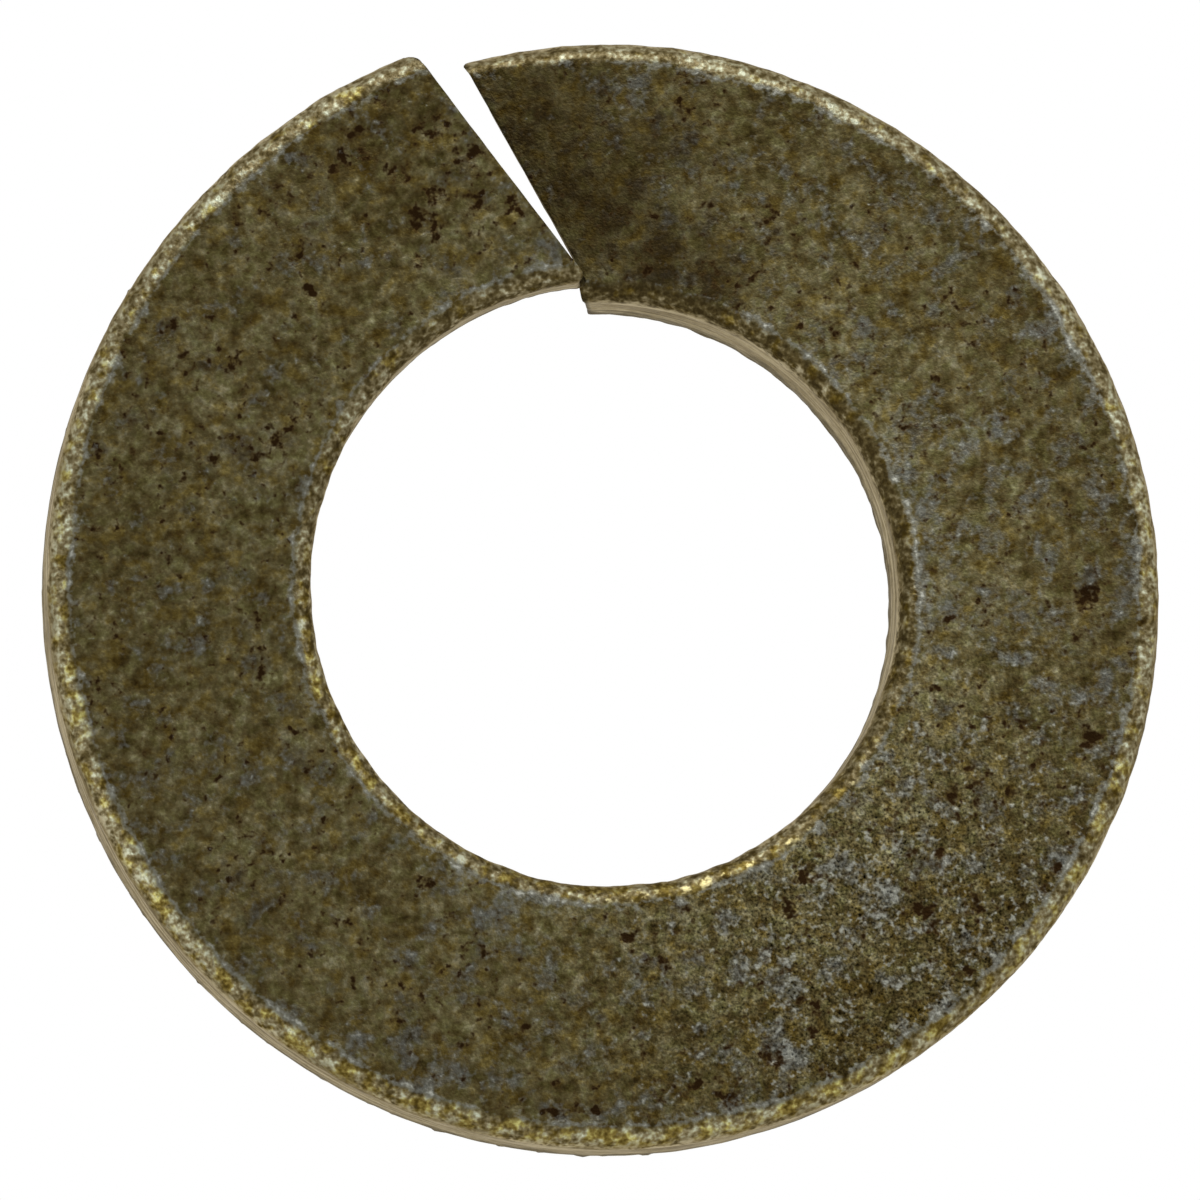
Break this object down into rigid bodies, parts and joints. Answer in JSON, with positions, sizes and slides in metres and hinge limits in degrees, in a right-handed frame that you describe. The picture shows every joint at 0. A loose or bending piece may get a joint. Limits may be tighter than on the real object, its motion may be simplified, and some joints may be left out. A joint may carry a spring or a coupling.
{
  "type": "spring lock washer",
  "caption": "Split helical spring lock washer with rounded corners and skew-cut ends, for locking a nut or screw head.",
  "frame": {"origin": "on the bore's axis, halfway up the coil", "axes": "+Z along the bore axis, towards the nut or screw head; +Y through the middle of the split, with the raised end on its -X side and the low end on its +X side"},
  "size_m": [0.0122, 0.0122, 0.0038],
  "materials": {
    "plated_spring_steel": "hardened spring steel, mechanically zinc plated with a dull olive-gold chromate, worn brassy on its corners and finely pitted"
  },
  "bodies": {
    "root": {"lock_washer": "plated_spring_steel"}
  },
  "joints": []
}
